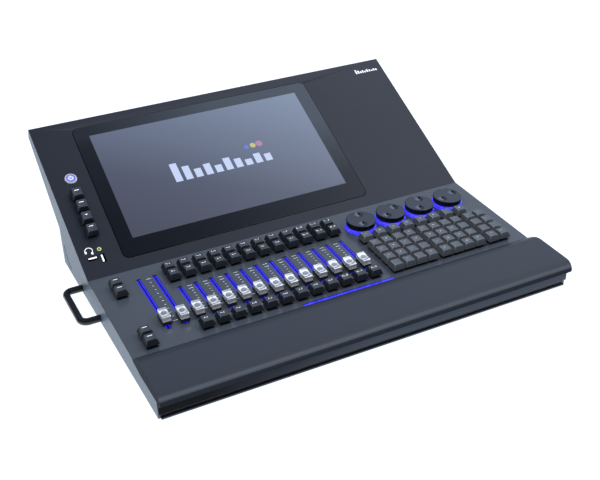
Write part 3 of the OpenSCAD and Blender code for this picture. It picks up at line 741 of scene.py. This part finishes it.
PALM_SHADE_BELOW = 0.30   # faces that look up less than this get the painted shade, a deader black


def palm_skin():
    """The palm rest's shell, its ends and the underside of its nose in painted shade, a deader black."""
    shell = skin("palm_rest", "palm", 0.6 * MM)
    shell.data.materials.append(MATERIALS["palm_painted_shade"])
    for face in shell.data.polygons:
        if face.normal.z < PALM_SHADE_BELOW:
            face.material_index = 1


palm_skin()
for sheet_node, paint_key, paint_slot, edge_mm in (
        ("deck_plate", "deck", "deck_paint", 0.25), ("screen_panel", "case", "case_paint", 0.4),
        ("side_panel_left", "side", "side_paint", 0.4), ("side_panel_right", "side", "side_paint", 0.4),
        ("rear_cover", "case", "case_paint", 0.3), ("rear_wall", "case", "case_paint", 0.3),
        ("base_tray", "case", "case_paint", 0.3), ("front_plate", "front", "front_gloss", 0.3)):
    skin(sheet_node, paint_key, edge_mm * MM)

GLASS_CORNER = 9 * MM
PICTURE = Vector((344.2, 193.6)) * MM
PICTURE_S = 146.2 * MM    # the picture's middle, up the screen panel
PICTURE_X = -46.5 * MM


def touch_screen():
    """The glass, with the picture showing through its middle."""
    low, high = local_box("touch_glass", SCREEN)
    centre = (low + high) / 2
    w, d = high.x - low.x, high.y - low.y
    top, edge = high.z, 0.5 * MM
    bm = bmesh.new()
    outer = [(w - 2 * edge, d - 2 * edge, GLASS_CORNER - edge, low.z), (w, d, GLASS_CORNER, low.z + edge),
             (w, d, GLASS_CORNER, top - edge),
             (w - 0.6 * edge, d - 0.6 * edge, GLASS_CORNER - 0.3 * edge, top - 0.3 * edge),
             (w - 2 * edge, d - 2 * edge, GLASS_CORNER - edge, top),
             (w - 4 * edge, d - 4 * edge, GLASS_CORNER - 2 * edge, top)]
    rings = [[Vector((centre.x + x, centre.y + y, z)) for x, y in ring_of(rw, rd, r, 8)]
             for rw, rd, r, z in outer]
    rings.append([Vector((PICTURE_X + x, PICTURE_S + y, top))
                  for x, y in ring_of(PICTURE.x, PICTURE.y, 0.4 * MM, 8)])
    made = loft(bm, rings)
    for face in bm.faces:
        if all(vertex in made[-1] for vertex in face.verts):
            face.material_index = 1
    low_corner = Vector((PICTURE_X - PICTURE.x / 2, PICTURE_S - PICTURE.y / 2))
    MATERIALS["picture"] = picture_glow("lit_picture", low_corner, low_corner + PICTURE)
    MATERIALS["bezel"] = bezel_glass("glass_bezel", low_corner, low_corner + PICTURE)
    piece("touch_glass_sheet", bm, "case", ["bezel", "picture"], SCREEN, ["touch_glass"])


touch_screen()


# --- handles ---

UP = Vector((0, 0, 1))


def handle(side):
    """A round bar bent into a handle, both ends on the side panel; side is -1 for the left."""
    node = "handle_left" if side < 0 else "handle_right"
    low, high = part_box(node)
    r = (high.z - low.z) / 2
    reach = high.x - low.x - r
    z = (high.z + low.z) / 2
    wall = high.x if side < 0 else low.x
    y0, y1 = low.y + r, high.y - r
    bend, steps, around = 10 * MM, 10, 28
    path = [Vector((0, y0, z))]
    for i in range(steps + 1):
        a = math.pi / 2 * i / steps
        path.append(Vector((reach - bend + bend * math.sin(a), y0 + bend - bend * math.cos(a), z)))
    for i in range(steps + 1):
        a = math.pi / 2 * i / steps
        path.append(Vector((reach - bend + bend * math.cos(a), y1 - bend + bend * math.sin(a), z)))
    path.append(Vector((0, y1, z)))
    bm = bmesh.new()
    rings = []
    for i, point in enumerate(path):
        ahead = (path[min(i + 1, len(path) - 1)] - path[max(i - 1, 0)]).normalized()
        across = ahead.cross(UP)
        ring = []
        for k in range(around):
            a = 2 * math.pi * k / around
            p = point + r * (math.cos(a) * across + math.sin(a) * UP)
            ring.append(Vector((wall + side * p.x, p.y, p.z)))
        rings.append(ring)
    loft(bm, rings)
    piece(node + "_bar", bm, "case", ["handle"], None, [node])


handle(-1)
handle(1)


# --- light guides ---

GUIDE_Z = (-2.0 * MM, -0.8 * MM)
GUIDE_END = 1.5 * MM    # the dark block at a slot's end
BAR_LIP = 2.3 * MM      # the width of each of the light bar's two lips


def block(bm, x, y, z, material=0):
    """A box between two bounds on each axis."""
    centre = [(low + high) / 2 for low, high in (x, y, z)]
    box_about(bm, centre, [high - low for low, high in (x, y, z)], material)


def fader_guides():
    """In each slot, two lit strips beside the stem's slit, with a dark block at each end."""
    bm = bmesh.new()
    bars = welded_copy("fader_light_guides")
    bars.transform(DECK.inverted())
    for x in SLOT_X:
        ys = [v.co.y for v in bars.verts if abs(v.co.x - x) < 3 * MM]
        y0, y1 = min(ys), max(ys)
        for side in (-1, 1):
            a, b = x + side * 0.95 * MM, x + side * (SLOT_HALF - 0.1 * MM)
            block(bm, sorted((a, b)), (y0 + GUIDE_END, y1 - GUIDE_END), GUIDE_Z)
            end = (y0, y0 + GUIDE_END) if side < 0 else (y1 - GUIDE_END, y1)
            block(bm, (x - SLOT_HALF + 0.1 * MM, x + SLOT_HALF - 0.1 * MM), end, GUIDE_Z, 1)
    bars.free()
    piece("fader_guide_strips", bm, "case", ["blue", "black"], DECK, ["fader_light_guides"])


fader_guides()


def light_bar():
    """The lit bar at the deck's front: a lens in its slot, a bright front lip and a dimmer one behind."""
    low, high = local_box("light_bar", DECK)
    span = (low.x, high.x)
    bm = bmesh.new()
    block(bm, span, (low.y, high.y), (low.z, high.z))
    block(bm, span, (low.y, low.y + BAR_LIP), (0, 0.30 * MM))
    block(bm, span, (low.y + BAR_LIP, low.y + 2 * BAR_LIP), (0, 0.12 * MM), 1)
    piece("light_bar_lens", bm, "case", ["ring", "blue_dim"], DECK, ["light_bar"])


light_bar()


# --- prints ---

def strip(bm, x, y, w, d, z=0.0, material=0):
    """A flat printed bar about (x, y)."""
    box_about(bm, (x, y, z + 0.01 * MM), (w, d, INK), material)


def arc_strip(bm, centre, r, width, start, end, z, material=0, steps=18):
    """A flat printed arc, its angles in degrees."""
    cx, cy = centre
    rings = []
    for i in range(steps + 1):
        a = math.radians(start + (end - start) * i / steps)
        rings.append([Vector((cx + q * math.cos(a), cy + q * math.sin(a), z + h))
                      for q, h in ((r, 0), (r + width, 0), (r + width, 0.05 * MM), (r, 0.05 * MM))])
    loft(bm, rings, material=material)


def scale(bm, x, top, step, count, wide):
    """A column of marks to the left of the slot at x, wide ones at the steps named. All in mm."""
    for k in range(count):
        strip(bm, (x - 9.6) * MM, (top - step * k) * MM, (6.4 if k in wide else 2.4) * MM, 0.6 * MM)


def fader_scales():
    """White marks between the faders' slots."""
    bm = bmesh.new()
    for i in range(1, 12):
        scale(bm, -193.4 + 22.4 * i, 112.5, 6.25, 10, (0, 1, 9))
    scale(bm, -215, 152, 9.3, 12, (0, 11))
    piece("fader_scales", bm, "case", ["print"], DECK)


fader_scales()


def headphone_mark():
    """A headband over two ear pads, left of the jack."""
    low, high = local_box("headphone_jack", SCREEN)
    cx, cy = (low.x + high.x) / 2 - 14.5 * MM, (low.y + high.y) / 2 + 1.0 * MM
    bm = bmesh.new()
    arc_strip(bm, (cx, cy), 4.8 * MM, 1.0 * MM, -25, 175, 0)
    for x, y in ((-4.9, -1.6), (3.6, -4.6)):
        strip(bm, cx + x * MM, cy + y * MM, 2.6 * MM, 3.8 * MM)
    piece("headphone_mark", bm, "case", ["white"], SCREEN)


headphone_mark()


LEVELS = (30, 22, 14, 18, 12, 20, 15, 10, 16, 12)   # heights of the emblem's bars, in mm


def corner_mark():
    """The emblem again, small, at the screen panel's rear right corner."""
    _, high = local_box("screen_panel", SCREEN)
    bm = bmesh.new()
    for k, tall in enumerate(LEVELS):
        strip(bm, high.x - (50 - 4.2 * k) * MM, high.y - (24 - 0.15 * tall) * MM, 2.8 * MM, 0.3 * tall * MM)
    piece("corner_mark", bm, "case", ["print"], SCREEN)


corner_mark()


def picture_marks():
    """The picture's plain emblem: a row of level bars and three coloured dots."""
    _, high = local_box("touch_glass", SCREEN)
    top = high.z - 0.01 * MM
    cx, cy = PICTURE_X + 2 * MM, PICTURE_S - 8 * MM
    bm = bmesh.new()
    for k, tall in enumerate(LEVELS):
        strip(bm, cx + (16.4 * k - 74) * MM, cy + (tall / 2 - 12) * 1.15 * MM,
              11 * MM, 1.15 * tall * MM, top)
    for k, r in enumerate((3.6, 4.6, 5.6)):
        turned(bm, [(r * MM, top), (r * MM, top + 0.06 * MM)], 28,
               (cx + (48 + 11 * k) * MM, cy + (20 + 0.8 * k) * MM), material=1 + k)
    MATERIALS.update({name: glow(name, color, color, 1.0) for name, color in (
        ("mark_pale", (0.38, 0.44, 0.60)), ("mark_blue", (0.10, 0.13, 0.50)),
        ("mark_yellow", (0.36, 0.36, 0.14)), ("mark_rose", (0.30, 0.15, 0.25)))})
    piece("picture_emblem", bm, "case", ["mark_pale", "mark_blue", "mark_yellow", "mark_rose"],
          SCREEN)


picture_marks()


# --- sockets and vents ---

def usb_tongues():
    """The white tongue in each USB socket."""
    low, high = local_box("usb_sockets", SCREEN)
    bm = bmesh.new()
    flat, upright = (low.x + 7.25 * MM, low.y + 10.15 * MM), (high.x - 3.55 * MM, low.y + 7.25 * MM)
    strip(bm, flat[0], flat[1] + 0.9 * MM, 11.8 * MM, 2.3 * MM, -0.2 * MM)
    strip(bm, upright[0] - 0.9 * MM, upright[1], 2.3 * MM, 11.8 * MM, -0.2 * MM)
    piece("usb_tongues", bm, "case", ["white"], SCREEN)


usb_tongues()


def power_mark():
    """The power symbol on the lit button."""
    low, high = local_box("power_button", SCREEN)
    cx, cy = (low.x + high.x) / 2, (low.y + high.y) / 2
    bm = bmesh.new()
    arc_strip(bm, (cx, cy), 2.5 * MM, 0.8 * MM, 125, 415, high.z - 0.02 * MM)
    strip(bm, cx, cy + 2.6 * MM, 0.8 * MM, 3.0 * MM, high.z)
    arc_strip(bm, (cx, cy), 5.2 * MM, 0.9 * MM, 0, 360, high.z - 0.02 * MM, material=1, steps=36)
    piece("power_mark", bm, "power_button", ["white", "blue"], SCREEN)


power_mark()

# the rear wall's frame: x to the right of a viewer behind it, y up, z out of the wall
REAR = Matrix(((-1, 0, 0, 0), (0, 0, 1, 0), (0, 1, 0, 0), (0, 0, 0, 1)))


def rear_details():
    """Contacts, flange screws and port numbers of the rear sockets."""
    bm = bmesh.new()
    low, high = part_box("dmx_outputs")
    reach, middle = high.y, (low.z + high.z) / 2
    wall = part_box("rear_wall")[1].y
    for k in range(4):
        x = -(low.x + 13 * MM + 36 * MM * k)
        for j in range(5):
            a = math.radians(198 + 54 * j)
            turned(bm, [(0.9 * MM, wall - 0.2 * MM), (0.9 * MM, wall + 0.06 * MM)], 14,
                   (x + 4.6 * MM * math.cos(a), middle + 4.6 * MM * math.sin(a)), material=1)
        for dx, dz in ((-9.5, 12), (9.5, -12)):
            head = [(2.1, 0.3), (2.1, 0.1), (1.2, 0.02)]
            turned(bm, [(r * MM, reach - back * MM) for r, back in head], 16,
                   (x + dx * MM, middle + dz * MM), material=2)
        number = glyph_points(str(k + 1), 6 * MM)
        stamp(bm, number, lambda p: Vector((x + p.x, middle + 20 * MM + p.y, wall + 0.03 * MM + p.z)))
    net_low, net_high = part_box("network_socket")
    for j in range(8):
        x = -(net_low.x + net_high.x) / 2 + (j - 3.5) * 1.1 * MM
        box_about(bm, (x, net_high.z - 3.2 * MM, net_high.y - 5 * MM), (0.5 * MM, 0.5 * MM, 8 * MM), 3)
    piece("rear_socket_details", bm, "case", ["print", "black", "screw", "gold"], REAR)


rear_details()


# the vent slot's centre behind the deck's front fold and over the side panel's foot, and its inner radius
VENT_Y, VENT_Z, VENT_R = 271.3 * MM, 41 * MM, 31 * MM


def vent_backings():
    """A black arc in each side panel's curved slot, painted shade for the dark inside it."""
    for side, node, start in ((-1, "side_panel_left", 188), (1, "side_panel_right", -84)):
        low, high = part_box(node)
        face = (high.x if side > 0 else -low.x) - 0.4 * MM
        outward = Matrix(((0, 0, side, 0), (side, 0, 0, 0), (0, 1, 0, 0), (0, 0, 0, 1)))
        bm = bmesh.new()
        arc_strip(bm, (side * (fold.y + VENT_Y), low.z + VENT_Z), VENT_R, 4.8 * MM, start, start + 76, face)
        # a black sheet as painted shade in the slot
        piece(node + "_painted_shade", bm, "case", ["black"], outward)


vent_backings()

CARRIED_OVER = {  # CAD nodes that keep their shape, and the material each gets
    "encoder_light_rings": "ring", "fader_bodies": "plate", "encoder_bodies": "plate", "key_switches": "black",
    "control_board": "board", "main_board": "board", "power_supply": "plate", "fan_frame": "black",
    "fan_rotor": "black", "headphone_jack": "green", "usb_sockets": "screw", "power_button_ring": "chrome",
    "power_button": "lens", "dmx_outputs": "black", "network_socket": "chrome", "power_inlet": "black",
    "case_screws": "screw", "feet": "rubber", "display_module": "black"}
for node, material in CARRIED_OVER.items():
    thing = NODES[node]
    thing.data.materials.clear()
    thing.data.materials.append(MATERIALS[material])


# --- stage ---

def area_light(name, place, target, size, power, color=(1, 1, 1), glossy=True):
    """A soft light; one that isn't glossy lights surfaces but doesn't show in reflections."""
    data = bpy.data.lights.new(name, "AREA")
    data.shape = "RECTANGLE"
    data.size, data.size_y = size
    data.energy = power
    data.color = color
    light = bpy.data.objects.new(name, data)
    light.location = place
    light.rotation_mode = "QUATERNION"
    light.rotation_quaternion = (Vector(target) - Vector(place)).to_track_quat("-Z", "Y")
    light.visible_glossy = glossy
    bpy.context.scene.collection.objects.link(light)


def bearing_share(degrees):
    """A compass bearing, clockwise from the rear, as a share of the turn from the front."""
    return (degrees + 180) / 360


def world():
    """A dim room with a broad pale wall to the rear right, for reflections; the camera sees plain white."""
    made = bpy.data.worlds.new("studio")
    made.use_nodes = True
    tree = made.node_tree
    direction = tree.nodes.new("ShaderNodeTexCoord").outputs["Generated"]
    split = tree.nodes.new("ShaderNodeSeparateXYZ")
    tree.links.new(direction, split.inputs[0])
    height = color_ramp(tree, split.outputs["Z"], [
        (0.0, 0.55), (0.45, 0.75), (0.78, 1.1), (0.885, 1.3), (0.945, 0.36), (0.98, 0.08), (1.0, 0.04)])
    turn = tree.nodes.new("ShaderNodeMath")
    turn.operation = "ARCTAN2"
    tree.links.new(split.outputs["X"], turn.inputs[0])
    tree.links.new(split.outputs["Y"], turn.inputs[1])
    share = tree.nodes.new("ShaderNodeMapRange")
    share.inputs["From Min"].default_value = -math.pi
    share.inputs["From Max"].default_value = math.pi
    tree.links.new(turn.outputs[0], share.inputs["Value"])
    side = color_ramp(tree, share.outputs["Result"], [(bearing_share(a), grey) for a, grey in (
        (-180, 0.12), (-60, 0.14), (5, 0.22), (44, 1.0), (85, 1.0), (130, 0.30), (180, 0.12))])
    product = tree.nodes.new("ShaderNodeVectorMath")
    product.operation = "MULTIPLY"
    tree.links.new(height, product.inputs[0])
    tree.links.new(side, product.inputs[1])
    cool = tree.nodes.new("ShaderNodeVectorMath")
    cool.operation = "MULTIPLY"
    cool.inputs[1].default_value = (0.90, 1.00, 1.22)
    tree.links.new(product.outputs[0], cool.inputs[0])
    shown = tree.nodes.new("ShaderNodeMix")
    shown.data_type = "RGBA"
    shown.inputs["B"].default_value = (1, 1, 1, 1)
    tree.links.new(tree.nodes.new("ShaderNodeLightPath").outputs["Is Camera Ray"], shown.inputs["Factor"])
    tree.links.new(cool.outputs[0], shown.inputs["A"])
    tree.links.new(shown.outputs["Result"], tree.nodes["Background"].inputs["Color"])
    tree.nodes["Background"].inputs["Strength"].default_value = 1.0
    bpy.context.scene.world = made


FLOOR_HALF = 60.0


def floor():
    """The pale floor, wide enough to have no edge in view."""
    bm = bmesh.new()
    bmesh.ops.create_grid(bm, x_segments=8, y_segments=8, size=FLOOR_HALF)
    mesh = bpy.data.meshes.new("floor")
    bm.to_mesh(mesh)
    bm.free()
    paint = Paint("pale_floor", (0.12, 0.12, 0.12), 0.8)
    paint.shader.inputs["Emission Color"].default_value = (0.98, 1.05, 1.16, 1)
    paint.shader.inputs["Emission Strength"].default_value = 1.0
    mesh.materials.append(paint.material)
    made = bpy.data.objects.new("floor", mesh)
    bpy.context.scene.collection.objects.link(made)


CAMERA_AT = (-0.54187, -1.12009, 0.75863)
CAMERA_TURN = (-26.5, 30.27, -1.39)   # azimuth from the front, elevation and roll, in degrees
CAMERA_LENS = 58.86                   # mm, on a 36 mm sensor


def camera():
    """The camera, at the angle that the desk is seen from."""
    azimuth, elevation, roll = (math.radians(a) for a in CAMERA_TURN)
    back = Vector((math.sin(azimuth) * math.cos(elevation), -math.cos(azimuth) * math.cos(elevation),
                   math.sin(elevation)))
    right = Vector((0, 0, 1)).cross(back).normalized()
    up = back.cross(right)
    data = bpy.data.cameras.new("camera")
    data.sensor_width = 36
    data.lens = CAMERA_LENS
    data.clip_end = 50
    made = bpy.data.objects.new("camera", data)
    tilted = (math.cos(roll) * right + math.sin(roll) * up,
              math.cos(roll) * up - math.sin(roll) * right, back)
    made.matrix_world = Matrix.Translation(CAMERA_AT) @ Matrix(tilted).transposed().to_4x4()
    bpy.context.scene.collection.objects.link(made)
    bpy.context.scene.camera = made


camera()
floor()
world()
area_light("key", (-0.9, -0.6, 2.0), (0, 0, 0.05), (1.6, 1.6), 60, (0.96, 0.98, 1.0), glossy=False)
area_light("fill", (1.4, -0.2, 1.8), (0, 0, 0.05), (1.4, 1.4), 30, (0.94, 0.97, 1.0), glossy=False)
area_light("front_strip", (1.0, -1.3, 1.9), (0, -0.1, 0.05), (1.2, 0.5), 8)
bpy.context.scene.view_settings.view_transform = "Standard"
